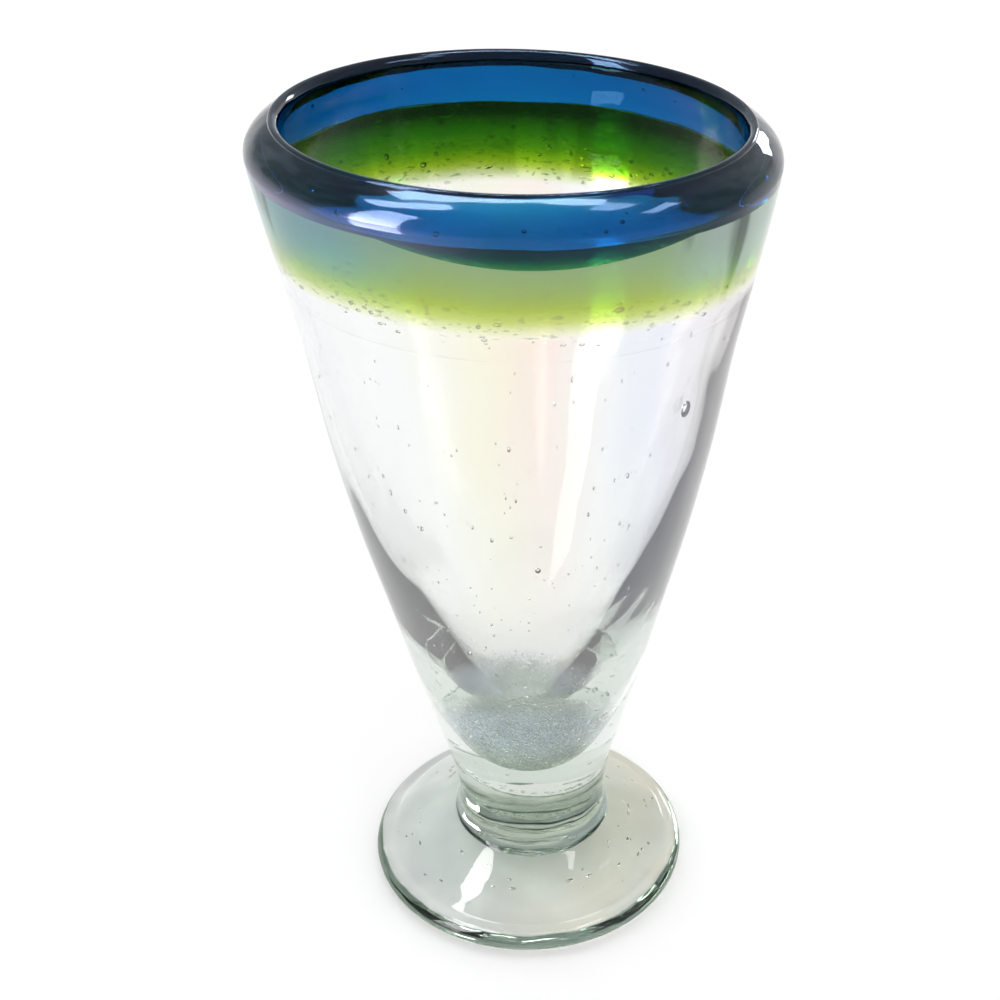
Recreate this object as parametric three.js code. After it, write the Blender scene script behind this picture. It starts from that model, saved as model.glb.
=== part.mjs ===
import * as THREE from "three";

// A hand-blown pilsner glass in millimetres, +Z up, standing on the table at z = 0.
// It is five gathers of hot glass, fused one on the next: the foot with its short stem,
// a wafer, the clear blown bowl, a green band and a blue rim whose edge is rolled over.
// Each gather is a solid of revolution that shares its joint face with its neighbour.
// handBlown() then gives all of them the small lean and the tilted mouth of the real glass.

// The whole glass
const glassHeight = 178; // table to crest, on the axis
const waistRadius = 16.4; // narrowest place of the stem
const waistHeight = 20.3;
const bulgeRadius = 48.75; // widest place, on the rolled lip
const wallThickness = 3.5; // blown wall above its thick base

// Foot
const footRadius = 35.7;
const footEdgeHeight = 5; // thick, fire-polished edge
const edgeWidestHeight = 2.3; // the edge stands out furthest at this height
const edgeUnderReach = 6; // how far in the edge's round goes below and above it
const edgeUpperReach = 2.5;
const restRingWidth = 5; // flat ring that the glass stands on
const shoulderRadius = 18.2; // where the slope of the foot turns up into the stem
const shoulderHeight = 12.6;
const kickUpDepth = 2.4; // hollow under the foot
const scarRadius = 6.5; // ground mark that the iron left under the foot
const scarHeight = 0.7;

// Joints between the gathers
const waferHeight = 22.3; // underside of the wafer
const waferThickness = 8.5;
const rimDepth = 9; // blue rim, joint to crest
const bandDepth = 20; // green band

// Bowl
const floorThickness = 2.8; // bowl glass under the cavity
const cavityTaper = 34; // how slowly the cavity opens above its round tip
const tipRound = 3; // height of that blunt tip
const cavityOffset = 1; // the cavity stands this far to -X half way up, so the wall at +X is thicker

// Lip
const lipThickness = 7; // bulge to the inside of the mouth
const lipDepth = 2.2; // crest to the straight inside of the mouth
const lipSwell = 26; // height over which the wall thickens into the lip
const bulgeDrop = 6.4; // crest to bulge
const crestInset = 5.4; // bulge to the ridge of the crest
const crestRound = 0.9; // bead along that ridge

// Hand work. The middle of the mouth is over the origin; the foot and stem stand a little to +X.
const footOffset = 0.5;
const stemOffset = 1; // further offset of the stem on the foot
const offsetRise = 13; // height over which the foot's slope takes up that offset
const mouthTiltStart = 95; // the wall is true below this and tilted above the next height
const mouthTiltEnd = 150;
const mouthTiltShares = [-0.038, -0.033]; // rise of the mouth for each unit along X and Y

// Outside of the wall from waist to bulge, as shares of its height and of its growth in radius
const wallOutlineShares = [
  [0, 0],
  [0.064, 0.053],
  [0.143, 0.146],
  [0.249, 0.276],
  [0.361, 0.405],
  [0.494, 0.559],
  [0.626, 0.685],
  [0.758, 0.784],
  [0.87, 0.89],
  [0.956, 0.968],
  [1, 1],
];

// How far the bevel runs straight up from the bulge before it turns in to the crest
const bevelFullnessShare = 0.55;

// How wide the cavity's tip is, and how its opening bends above it: 1 is an even taper
const tipFullnessShare = 0.25;
const taperBendShare = 1.15;

// Counts
const facetsRound = 72;
const outlineSamples = 240;

// Heights that follow from the sizes above
const bowlBottom = waferHeight + waferThickness;
const cavityFloor = bowlBottom + floorThickness;
const rimBottom = glassHeight - rimDepth;
const bandBottom = rimBottom - bandDepth;
const bulgeHeight = glassHeight - bulgeDrop;
const mouthHeight = glassHeight - lipDepth;

const wallOutline = new THREE.SplineCurve(
  wallOutlineShares.map(([heightShare, growthShare]) => new THREE.Vector2(
    THREE.MathUtils.lerp(waistRadius, bulgeRadius, growthShare),
    THREE.MathUtils.lerp(waistHeight, bulgeHeight, heightShare),
  )),
).getPoints(outlineSamples);

// Radius of the outside of the wall at a height between waist and bulge.
function outerRadius(z) {
  const above = wallOutline.findIndex((point) => point.y >= z);
  if (above <= 0) return above === 0 ? wallOutline[0].x : wallOutline.at(-1).x;
  const high = wallOutline[above];
  const low = wallOutline[above - 1];
  return THREE.MathUtils.lerp(low.x, high.x, (z - low.y) / (high.y - low.y));
}

// Radius of the cavity: the blown wall, swelling into the lip above and closing to a blunt, round tip.
function cavityRadius(z) {
  const swell = THREE.MathUtils.smoothstep(z, mouthHeight - lipSwell, mouthHeight);
  const wall = THREE.MathUtils.lerp(wallThickness, lipThickness, swell);
  const rise = Math.max(0, z - cavityFloor);
  const tip = tipFullnessShare * Math.tanh(Math.sqrt(rise / tipRound));
  const taper = (rise / cavityTaper) ** taperBendShare;
  return (outerRadius(z) - wall) * Math.tanh(tip + taper);
}

// Heights from low to high; a power above 1 crowds them towards low.
function heights(low, high, steps, power = 1) {
  return Array.from({ length: steps + 1 }, (_, i) => (
    THREE.MathUtils.lerp(low, high, (i / steps) ** power)
  ));
}

function outsideUp(low, high, steps) {
  return heights(low, high, steps).map((z) => new THREE.Vector2(outerRadius(z), z));
}

function insideDown(high, low, steps, power) {
  return heights(low, high, steps, power).map((z) => new THREE.Vector2(cavityRadius(z), z)).reverse();
}

// A quarter of an ellipse from one point to another; it leaves the first along the corner's side.
function quarterRound(from, corner, to, steps) {
  const curve = new THREE.Path();
  const fullness = (4 / 3) * (Math.SQRT2 - 1);
  curve.moveTo(from.x, from.y);
  curve.bezierCurveTo(
    THREE.MathUtils.lerp(from.x, corner.x, fullness),
    THREE.MathUtils.lerp(from.y, corner.y, fullness),
    THREE.MathUtils.lerp(to.x, corner.x, fullness),
    THREE.MathUtils.lerp(to.y, corner.y, fullness),
    to.x,
    to.y,
  );
  return curve.getPoints(steps);
}

// How far the cavity stands aside at a height: most half way up, and nothing at its floor and the rim.
function cavityAside(z) {
  const share = THREE.MathUtils.clamp((z - cavityFloor) / (rimBottom - cavityFloor), 0, 1);
  return 4 * cavityOffset * share * (1 - share);
}

// Moves a point of the true solid to where the maker's hand left it: the cavity stands aside in the
// bowl, the stem stands aside on the foot, the bowl leans back from it to bring the mouth over the
// origin, and the mouth tilts.
function handBlown(point) {
  const outer = outerRadius(point.z);
  const inwards = (outer - Math.hypot(point.x, point.y)) / (outer - cavityRadius(point.z));
  point.x -= cavityAside(point.z) * THREE.MathUtils.clamp(inwards, 0, 1);
  const stem = footOffset + stemOffset * THREE.MathUtils.smoothstep(point.z, 0, offsetRise);
  const climbed = THREE.MathUtils.clamp((point.z - waistHeight) / (bulgeHeight - waistHeight), 0, 1);
  const tilt = THREE.MathUtils.smoothstep(point.z, mouthTiltStart, mouthTiltEnd);
  const rise = mouthTiltShares[0] * point.x + mouthTiltShares[1] * point.y;
  point.x += stem * (1 - climbed);
  point.z += tilt * rise;
}

// Turns a profile of radius and height about the axis. The profile runs anticlockwise.
function blow(name, profile, look) {
  const geometry = new THREE.LatheGeometry(profile, facetsRound);
  geometry.rotateX(Math.PI / 2);
  const position = geometry.getAttribute("position");
  const point = new THREE.Vector3();
  for (let i = 0; i < position.count; i += 1) {
    point.fromBufferAttribute(position, i);
    handBlown(point);
    position.setXYZ(i, point.x, point.y, point.z);
  }
  geometry.computeVertexNormals();
  const mesh = new THREE.Mesh(geometry, new THREE.MeshStandardMaterial(look));
  mesh.name = name;
  return mesh;
}

// The foot: a disc with a thick round edge, sloping up through a cove into the stem.
// Underneath it stands on a flat ring round a shallow hollow with the iron's mark.
function makeFoot() {
  const ringOuter = footRadius - edgeUnderReach;
  const ringInner = ringOuter - restRingWidth;
  const edgeTop = footRadius - edgeUpperReach;
  const slope = (shoulderHeight - footEdgeHeight) / (edgeTop - shoulderRadius);
  const coveCorner = footEdgeHeight + slope * (edgeTop - waistRadius);

  const scarFloor = kickUpDepth - scarHeight;
  const scar = [
    new THREE.Vector2(0, kickUpDepth),
    new THREE.Vector2(scarRadius / 2, kickUpDepth),
    new THREE.Vector2(scarRadius - scarHeight, scarFloor),
    new THREE.Vector2(scarRadius, scarFloor),
    new THREE.Vector2(scarRadius + scarHeight, kickUpDepth),
  ];
  const hollow = new THREE.QuadraticBezierCurve(
    scar.at(-1),
    new THREE.Vector2((scarRadius + ringInner) / 2, kickUpDepth),
    new THREE.Vector2(ringInner, 0),
  ).getPoints(5).slice(1);
  const underEdge = quarterRound(
    new THREE.Vector2(ringOuter, 0),
    new THREE.Vector2(footRadius, 0),
    new THREE.Vector2(footRadius, edgeWidestHeight),
    4,
  );
  const upperEdge = quarterRound(
    new THREE.Vector2(footRadius, edgeWidestHeight),
    new THREE.Vector2(footRadius, footEdgeHeight),
    new THREE.Vector2(edgeTop, footEdgeHeight),
    5,
  ).slice(1);
  const cove = new THREE.QuadraticBezierCurve(
    new THREE.Vector2(shoulderRadius, shoulderHeight),
    new THREE.Vector2(waistRadius, coveCorner),
    new THREE.Vector2(waistRadius, waistHeight),
  ).getPoints(7);
  const stem = outsideUp(waistHeight, waferHeight, 2).slice(1);
  const profile = [...scar, ...hollow, ...underEdge, ...upperEdge, ...cove, ...stem];
  profile.push(new THREE.Vector2(0, waferHeight));
  return blow("foot", profile, { color: 0xc9d3cc, roughness: 0.06, metalness: 0 });
}

// The wafer: the slice of glass that joins the bowl to the stem.
function makeWafer() {
  const profile = [
    new THREE.Vector2(0, waferHeight),
    ...outsideUp(waferHeight, bowlBottom, 3),
    new THREE.Vector2(0, bowlBottom),
  ];
  return blow("wafer", profile, { color: 0xa9b8a8, roughness: 0.08, metalness: 0 });
}

// The bowl: a clear blown cone with a thick base and a cavity that ends in a round floor.
function makeBowl() {
  const profile = [
    new THREE.Vector2(0, bowlBottom),
    ...outsideUp(bowlBottom, bandBottom, 13),
    ...insideDown(bandBottom, cavityFloor, 17, 2),
  ];
  return blow("bowl", profile, { color: 0xe9e6ea, roughness: 0.12, metalness: 0.25 });
}

// The green band: a ring of wall between the bowl and the rim.
function makeGreenBand() {
  const profile = [...outsideUp(bandBottom, rimBottom, 4), ...insideDown(rimBottom, bandBottom, 4)];
  profile.push(profile[0].clone());
  return blow("green_band", profile, { color: 0x5f9a1e, roughness: 0.1, metalness: 0.1 });
}

// The blue rim: its wall is rolled into a thick lip, with a bevel up to a beaded crest and a flare
// from that down into the mouth.
function makeBlueRim() {
  const bulge = new THREE.Vector2(bulgeRadius, bulgeHeight);
  const crest = new THREE.Vector2(bulgeRadius - crestInset, glassHeight);
  const beadFoot = new THREE.Vector2(crest.x + crestRound, glassHeight - crestRound);
  const mouth = new THREE.Vector2(cavityRadius(mouthHeight), mouthHeight);
  const bevel = new THREE.QuadraticBezierCurve(
    bulge,
    new THREE.Vector2(bulgeRadius, THREE.MathUtils.lerp(bulge.y, beadFoot.y, bevelFullnessShare)),
    beadFoot,
  ).getPoints(6).slice(1);
  const bead = quarterRound(beadFoot, new THREE.Vector2(beadFoot.x, glassHeight), crest, 3).slice(1);
  const flare = quarterRound(crest, new THREE.Vector2(mouth.x, glassHeight), mouth, 5).slice(1);
  const profile = [
    ...outsideUp(rimBottom, bulgeHeight, 3),
    ...bevel,
    ...bead,
    ...flare,
    ...insideDown(mouthHeight, rimBottom, 2).slice(1),
  ];
  profile.push(profile[0].clone());
  return blow("blue_rim", profile, { color: 0x0a4f8c, roughness: 0.05, metalness: 0.1 });
}

const glass = new THREE.Group();
glass.add(makeFoot(), makeWafer(), makeBowl(), makeGreenBand(), makeBlueRim());

export default glass;
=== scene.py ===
"""A hand-blown pilsner glass: a clear, seedy bowl with a lustred outside, a green band and a rolled blue rim,
joined by a wafer of glass to a short stem and a round foot."""

import math
from functools import partial

import bmesh
import bpy
import numpy as np
from mathutils import Matrix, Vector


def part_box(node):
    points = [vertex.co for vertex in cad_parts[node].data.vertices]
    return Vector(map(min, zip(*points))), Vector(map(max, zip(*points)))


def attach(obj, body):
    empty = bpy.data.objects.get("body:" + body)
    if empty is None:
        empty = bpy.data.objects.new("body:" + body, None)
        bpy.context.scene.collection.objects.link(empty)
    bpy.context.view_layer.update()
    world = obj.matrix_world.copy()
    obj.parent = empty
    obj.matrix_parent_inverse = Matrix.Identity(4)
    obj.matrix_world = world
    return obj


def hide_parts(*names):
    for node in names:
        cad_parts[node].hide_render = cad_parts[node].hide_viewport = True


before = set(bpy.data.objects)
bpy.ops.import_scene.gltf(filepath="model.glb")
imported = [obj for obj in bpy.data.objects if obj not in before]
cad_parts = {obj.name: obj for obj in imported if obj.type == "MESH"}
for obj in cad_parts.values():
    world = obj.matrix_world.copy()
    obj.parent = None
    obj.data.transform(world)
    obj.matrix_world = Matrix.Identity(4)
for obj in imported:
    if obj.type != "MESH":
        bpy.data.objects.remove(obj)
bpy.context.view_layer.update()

bl_info = {
    "name": "Pilsner Glass",
    "version": (1, 0, 0),
    "blender": (4, 5, 0),
    "location": "View3D > Sidebar > Glass",
    "description": "Builds a hand-blown pilsner glass, gather by gather, and the stage it stands on",
    "category": "Add Mesh",
}

FOOT_LOW, FOOT_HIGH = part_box("foot")
WAFER_LOW, WAFER_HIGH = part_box("wafer")
RIM_LOW, RIM_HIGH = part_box("blue_rim")

# Outside of the wall from waist to bulge, as shares of its height and of its growth in radius
WALL_OUTLINE_SHARES = (
    (0, 0), (0.064, 0.053), (0.143, 0.146), (0.249, 0.276), (0.361, 0.405), (0.494, 0.559),
    (0.626, 0.685), (0.758, 0.784), (0.87, 0.89), (0.956, 0.968), (1, 1),
)

# What a face of the glass is, by the name of its attribute: its gloss and lustre depend on it
INSIDE, OUTSIDE, FUSED, OTHER = "inside", "outside", "fused", None

# Facets round the glass, rings along each curve of its section, and rings beside a crease in its half widths
FACETS_ROUND = 288
ANGLES = np.linspace(0, 2 * math.pi, FACETS_ROUND, endpoint=False)
ALL_ROUND = np.ones(FACETS_ROUND)
OUTLINE_SAMPLES = 240
HOLLOW_RINGS, EDGE_UNDER_RINGS, EDGE_UPPER_RINGS, FOOT_RUN_RINGS, COVE_RINGS, STEM_RINGS = 24, 12, 16, 24, 32, 4
WAFER_RINGS, BOWL_RINGS, CAVITY_RINGS, BAND_RINGS = 12, 90, 110, 30
ROLL_RINGS, BEVEL_RINGS, BEAD_RINGS, FLARE_RINGS, MOUTH_RINGS = 12, 24, 8, 20, 8
CREASE_RINGS = (0, 0.4, 0.8, 1.2, 1.7, 2.4)
SHARP_DEGREES = 40

# Joints wander as a sum of waves round the glass: the random seed, and up to how many waves. The rim's ones drop at
# the back, which comes in over this run of how far a place lies behind the axis
WAFER_BOTTOM_WAVES, WAFER_TOP_WAVES, RIM_OUTER_WAVES, RIM_INNER_WAVES = (3, 110), (8, 110), (5, 9), (6, 12)
BACK_RUN = (-0.2, 0.5)

# Seeds, the smallest bubbles: how many, their stretch round, up and through, and the shares of the wall they lie in
WALL_SEEDS = (170, (1, 1.8, 1), (0.25, 0.75))
BASE_SEEDS = (130, (1.6, 1, 1), (0.1, 0.6))
BAND_SEEDS = (320, (2, 1, 1), (0.25, 0.75))
RIM_SEEDS = (30, (1.5, 1, 1), (0.3, 0.8))

# Heights that they lie between, in metres; the band's are above its lower end, and its sizes are scaled by these
BASE_SEED_HEIGHTS, RIM_SEED_HEIGHTS, SEED_MARGIN = (0.036, 0.07), (0.171, 0.1735), 0.001
BAND_SEED_RISES, BAND_SEED_SCALES = (0.003, 0.016), (1.4, 1.2)

# Seeds of the foot and of the joints: how many, their least and most stretch, and their depth, as shares of the
# foot's thickness and in radii of the largest seeds
FOOT_SEEDS, FOOT_SEED_STRETCH, FOOT_SEED_DEPTHS = 60, (1, 3), (0.5, 0.8)
JOINT_SEEDS, JOINT_SEED_STRETCH, JOINT_SEED_DEPTHS = 60, (1, 2.5), (2, 5)

# Large bubbles: height in metres, degrees round from the front, radius in metres, and stretch round, up and through,
# where they aren't round; and the share of the wall in front of them
LARGE_BUBBLES = (
    (0.132, 48, 0.0013, (0.9, 1.4, 1)), (0.102, 5, 0.00055, (1, 1.2, 1)), (0.0765, -23, 0.00055, (1, 1.3, 1)),
    (0.118, 150, 0.0005, (1, 1.6, 1)), (0.091, -110, 0.0006, (1, 1.3, 1)), (0.14, -160, 0.00045, (1, 1.4, 1)),
)
BAND_BUBBLES = (
    (0.1575, 217, 0.0006, (1, 1.3, 1)), (0.1565, 202, 0.0005), (0.1545, 206, 0.0006, (1.3, 1, 1)),
    (0.163, 200, 0.0005), (0.1615, 180, 0.0005), (0.157, 146, 0.00045), (0.1565, 164, 0.0004),
    (0.1625, 142, 0.0004), (0.1555, -8, 0.0004), (0.158, 22, 0.0005, (2, 1, 1)), (0.1595, 60, 0.0004, (2, 1, 1)),
)
BOWL_BUBBLE_DEPTH, BAND_BUBBLE_DEPTH = 0.5, 0.45

# Glass: how strongly it mirrors each colour, the colour that its thickness turns light to, and how fast
GLASS_IOR = 1.5
CLEAR_SHEEN = (0.6, 0.6, 0.6)
GREEN_SHEEN = (0.1, 0.2, 0.1)
BLUE_SHEEN = (0.12, 0.3, 0.5)
CLEAR_DEEP, CLEAR_DENSITY, FOOT_DENSITY = (0.1, 0.3, 0.12), 7, 18
BLUE_DEEP, BLUE_DENSITY = (0.0, 0.667, 0.845), 900

# Depths in metres of the waves on the glass
WAVE_DEPTH, RIM_WAVE_DEPTH, FOOT_WAVE_DEPTH, WAFER_WAVE_DEPTH = 0.00025, 0.0005, 0.00025, 0.00012

# Noises: how many features fit in a metre, how much closer they lie along X, Y and Z, and their detail
NOISES = {
    "cords": (55, (1, 1, 3), 2), "foot waves": (110, (1, 1, 1.6), 1), "smears": (400, (1, 1, 1), 2),
    "drift": (22, (1, 1, 0.55), 2), "streaks": (90, (1, 1, 0.4), 2), "wall waves": (70, (1, 1, 0.35), 1),
    "grain": (1700, (1, 1, 0.7), 3), "mottles": (160, (1, 1, 1), 3), "painted_glints": (2600, (1, 1, 1), 1),
    "band drift": (45, (1, 1, 0.6), 2), "specks": (900, (0.5, 0.5, 1.6), 1), "tiny seeds": (1000, (0.6, 0.6, 1.4), 0),
    "gaps": (60, (1.6, 1.6, 0.25), 2), "rim streaks": (40, (1, 1, 2.5), 2), "rim waves": (75, (1, 1, 1.3), 1),
}
NOISE_MIDDLE = 0.5

# Foot and wafer: where the left colour turns into the right one, which on the foot is painted shade at the left and
# painted warm light at the right, their pale cords, and the smears on them
FOOT_SIDES, CORD_LEVELS = (-0.02, 0.025), (0.4, 0.7)
SMEAR_LEVELS, SMEAR_ROUGHNESS = (0.55, 0.8), 0.08

# Skin low in the cavity: its upper edge and what moves it, its surface, its gaps and mottles, and the white specks on
# it, which are painted glints
GRAIN_LEVELS, GRAIN_TILT, GRAIN_DRIFT, GRAIN_FRAY = (0.0445, 0.051), 0.6, 0.01, 0.006
GRAIN_DEPTH, GRAIN_ROUGHNESS, SKIN_ROUGHNESS = 0.00018, 0.12, 0.35
GRAIN_COVER, GRAIN_GAPS, GREENER_DOWNWARDS = 0.75, (0.3, 0.6), (0.045, 0.036)
PAINTED_GLINT_LEVELS, GLINTED_MOTTLES, DARK_MOTTLES, MOTTLE_DARKNESS = (0.6, 0.68), (0.5, 0.62), (0.5, 0.35), 0.6

# Lustre: how its colours run across the bowl and come in upwards, how it covers, how much of its colours are laid
# into the glass's own colour as a painted reflection, and its gloss
LUSTRE_PER_METRE, LUSTRE_DRIFT, LUSTRE_MIDDLE, LUSTRE_TURNS = 10.2, 0.35, 0.5, (0.06, 0.125)
LUSTRE_COVER, LUSTRE_UNEVEN, LUSTRE_LEVELS, LUSTRE_PAINTED_REFLECTION = 0.17, 0.12, (0.05, 0.075), 0.35
LUSTRE_ROUGHNESS, STREAK_ROUGHNESS = 0.06, 0.08
LUSTRE_STOPS = (
    (0.08, "lustre_silver"), (0.3, (1, 1, 1)), (0.42, "lustre_straw"), (0.53, "lustre_rose"), (0.62, (1, 1, 1)),
    (0.72, "lustre_sky"), (0.84, (0.97, 0.92, 0.97)), (0.93, "lustre_plum"),
)

# Green band: its colours hang between these levels, on a plane that rises by these tilts
BAND_LEVELS, BAND_TILTS, BAND_DRIFT, BARE_BELOW = (0.149, 0.169), (0.01, 0.036), 0.0022, (0.11, 0.2)
BAND_STOPS = (
    (0.12, "clear"), (0.165, (0.92, 0.94, 0.78)), (0.22, (0.8, 0.87, 0.48)), (0.31, "green_yellow"),
    (0.39, (0.2, 0.42, 0.005)), (0.5, "green_mid"), (0.68, "green_deep"), (0.88, "green_black"),
)
TINY_SEED_LEVELS, TINY_SEED_SHARE = (0.7, 0.76), 0.7

# Lustre over the band: its colours upwards, its side colours and where they come in sideways and upwards, its
# gloss, and its gaps and cover
BAND_LUSTRE_STOPS = (
    (0.12, (1, 1, 0.97)), (0.23, (0.93, 0.92, 0.74)), (0.33, (0.9, 0.88, 0.45)), (0.45, "band_gold"),
    (0.85, "band_mist"),
)
BAND_SIDES, SIDE_DRIFT = (("band_haze", (-0.014, -0.036), (0.1, 0.8)), ("band_pale", (0.02, 0.036), (0.1, 0.7))), 0.03
BAND_ROUGHNESS, SPECK_LEVELS, SPECK_ROUGHNESS = 0.07, (0.5, 0.8), 0.2
BAND_LUSTRE_COVER, BAND_UNEVEN, GAP_LEVELS, GAP_DEPTH = 0.36, 0.1, (0.62, 0.72), 0.8

# Blue rim: its streaks, and the lustre at the left of its underside
RIM_STREAK_LEVELS, RIM_LUSTRE_BELOW, RIM_LUSTRE_SIDE = (0.4, 0.65), (0.17, 0.1745), (0.0, -0.04)
RIM_LUSTRE_STOPS = ((0.35, (0.45, 0.55, 1.0)), (0.65, (0.7, 0.65, 1.0)))
RIM_LUSTRE_ROUGHNESS, RIM_LUSTRE_LEAST, RIM_LUSTRE_COVER = 0.12, 0.02, 0.26

# Room that glass shows: how far up it goes dim, how it turns from left to right, and its clutter
ROOM_RISE, ROOM_SIDES = (0.0, 0.16), (-0.6, 0.6)
CLUTTER_SCALE, CLUTTER_DETAIL, CLUTTER_LEVELS, CLUTTER_MIDDLE, CLUTTER_DEPTH = 5.0, 3.0, (0.45, 0.62), 0.3, 0.25
CAMERA_NEAREST = 0.01

# Window panes: name, degrees round from the back, distance, height, lean in degrees, width, tallness, power
WINDOW_PANES = (
    ("left_window_high", -126, 0.32, 0.36, 0, 0.11, 0.38, 2.2),
    ("left_window_low", -126, 0.32, 0.105, 0, 0.11, 0.11, 0.3),
    ("left_skylight", -97, 0.33, 0.86, 68, 0.12, 0.34, 2.4),
    ("right_window_low", 104, 0.14, 0.3, 50, 0.05, 0.022, 0.035),
    ("right_window_high", 104, 0.1, 0.35, 70, 0.05, 0.03, 0.045),
    ("right_far_window", 32, 1.0, 0.34, 0, 0.2, 0.16, 1.1),
    ("skylight", 0, 0.1, 0.75, 80, 0.5, 0.1, 2.8),
)


def number(description, default, **more):
    """A number that a user may change."""
    return partial(bpy.props.FloatProperty, description=description, default=default, precision=5, **more)


def length(description, metres):
    return number(description, metres, unit="LENGTH")


def angle(description, degrees):
    return number(description, math.radians(degrees), unit="ROTATION")


def tint(description, default):
    """A colour, in linear light."""
    return partial(
        bpy.props.FloatVectorProperty, description=description, default=default, subtype="COLOR", min=0, max=1)


def named(group):
    """Makes the group's properties, each under its own name."""
    for name, make in group.__annotations__.items():
        group.__annotations__[name] = make(name=name.replace("_", " ").capitalize())
    return group


@named
class GlassSizes(bpy.types.PropertyGroup):
    """Sizes of the glass."""

    glass_height: length("Table to crest, on the axis", 0.178)
    waist_radius: length("Narrowest place of the stem", 0.0164)
    waist_height: length("Height of the narrowest place", 0.0203)
    bulge_radius: length("Widest place, on the rolled lip", (RIM_HIGH.y - RIM_LOW.y) / 2)
    wall: length("Blown wall above its thick base", 0.0035)

    foot_radius: length("Radius of the foot's edge", (FOOT_HIGH.y - FOOT_LOW.y) / 2)
    edge_height: length("Height of the foot's thick edge", 0.005)
    edge_widest: length("Height of its widest place", 0.0023)
    edge_under_reach: length("Reach of its round below", 0.006)
    edge_upper_reach: length("Reach of its round above", 0.0038)
    rest_ring: length("Width of the flat ring it stands on", 0.005)
    shoulder_radius: length("Where the foot turns up into the stem", 0.0182)
    shoulder_height: length("Height of that turn", 0.0126)
    kick_up: length("Depth of the hollow under the foot", 0.0024)
    scar_radius: length("Ground mark of the iron under the foot", 0.0065)
    scar_height: length("How far that mark stands down", 0.0007)

    wafer_bottom: length("Underside of the wafer", WAFER_LOW.z)
    wafer_top: length("Top of the wafer", WAFER_HIGH.z)
    joint_ragged: length("How far the wafer's joints wander", 0.00012)
    joint_groove: length("Depth of the crease round the wafer's joints", 0.00006)
    joint_groove_width: length("Half the width of that crease", 0.0003)

    cavity_floor: length("Bowl glass under the cavity", 0.0028)
    cavity_taper: length("How slowly the cavity opens above its round tip", 0.046)
    tip_round: length("Height of that blunt tip", 0.003)
    tip_fullness: number("How wide the cavity's tip is", 0.5)
    taper_bend: number("How that taper bends: 1 is even", 1.3)
    cavity_offset: length("How far the cavity stands to -X half way up", 0.001)
    rim_depth: length("Blue rim, joint to crest", 0.009)
    band_depth: length("Green band, joint to joint", 0.02)
    rim_inner_rise: length("Rise of the rim's joint inside, at the front", 0.0005)
    rim_inner_joint: length("Its drop from there to the back", 0.0019)
    rim_outer_joint: length("Rise of the rim's joint outside", 0.001)
    rim_drip: length("How far the blue hangs down at the front", 0.0029)
    rim_back_drop: length("Its drop outside, at the back", 0.0033)
    rim_ragged: length("How far the rim's joint wanders", 0.0003)
    drip_middle: number("Degrees round from the front to the drip's lowest point", 5)
    drip_half: number("Degrees from that point to the drip's ends", 32)
    lower_lean: number("Rise of the wafer's lower joint along X", -0.04)
    upper_lean: number("Rise of the wafer's upper joint along X", -0.11)
    seed_small: length("Radius of the smallest bubbles", 0.00012)
    seed_large: length("Radius of the largest fine bubbles", 0.0004)

    lip: length("Bulge to the inside of the mouth", 0.007)
    lip_depth: length("Crest to the straight inside of the mouth", 0.0022)
    lip_swell: length("Height over which the wall thickens into the lip", 0.026)
    bulge_drop: length("Crest to bulge", 0.0064)
    crest_inset: length("Bulge to the ridge of the crest", 0.0054)
    crest_round: length("Bead along that ridge", 0.0006)
    bevel_fullness: number("How far the bevel runs straight up before it turns in", 0.55)

    foot_offset: length("How far the foot stands to +X", 0.0005)
    stem_offset: length("Further offset of the stem on the foot", 0.001)
    offset_rise: length("Height over which the foot takes up that offset", 0.013)
    tilt_start: length("The wall is true below this height", 0.095)
    tilt_end: length("The wall is wholly tilted above this height", 0.15)
    tilt_x: number("Rise of the mouth along X", -0.038)
    tilt_y: number("Rise of the mouth along Y", -0.033)

    joint_gap: length("Hair between gathers, so that no two faces coincide", 0.00002)


@named
class GlassColours(bpy.types.PropertyGroup):
    """Colours of the glass and its lustre, as light that comes through a wall or off it."""

    clear: tint("Glass of the bowl", (0.985, 0.99, 0.98))
    wafer: tint("Glass of the wafer", (0.6, 0.66, 0.6))
    wafer_pale: tint("Paler streaks in the wafer", (0.8, 0.84, 0.8))
    # Painted shade: the foot's glass is darker and cooler at the left
    foot_left_painted_shade: tint("Glass of the foot at the left", (0.77, 0.775, 0.785))
    # Painted light: the foot's glass is lighter and warmer at the right
    foot_right_painted_light: tint("Glass of the foot at the right", (0.95, 0.905, 0.835))
    foot_pale: tint("Paler streaks in the foot", (0.95, 0.945, 0.93))
    blue: tint("Glass of the rim", (0.28, 0.74, 0.78))
    blue_streak: tint("Streaks in the rim", (0.38, 0.84, 0.9))
    green_black: tint("Green band right under the rim", (0.001, 0.012, 0.001))
    green_deep: tint("Upper half of the green band", (0.015, 0.12, 0.002))
    green_mid: tint("Middle of the green band", (0.06, 0.24, 0.003))
    green_yellow: tint("Where the green thins out", (0.4, 0.58, 0.04))
    lustre_silver: tint("Left of the bowl", (0.9, 0.94, 0.98))
    lustre_straw: tint("Left of the bowl's middle", (1.0, 0.95, 0.72))
    lustre_rose: tint("The bowl's middle", (1.0, 0.82, 0.76))
    lustre_sky: tint("Right of the bowl's middle", (0.8, 0.84, 1.0))
    lustre_plum: tint("Right edge of the bowl", (0.5, 0.36, 0.42))
    band_mist: tint("Lustre over the green, under the rim", (0.72, 0.98, 0.58))
    band_gold: tint("Lustre over the green where it thins", (0.88, 0.86, 0.26))
    band_haze: tint("Lustre over the green at the left", (0.5, 0.87, 0.95))
    band_pale: tint("Lustre over the green at the right", (0.8, 1.0, 0.9))
    grain: tint("Crackled skin low in the cavity", (0.5, 0.58, 0.7))
    grain_green: tint("The same skin at the tip of the cavity", (0.42, 0.5, 0.42))
    grain_dark: tint("Darker mottles of that skin", (0.24, 0.28, 0.34))


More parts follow.
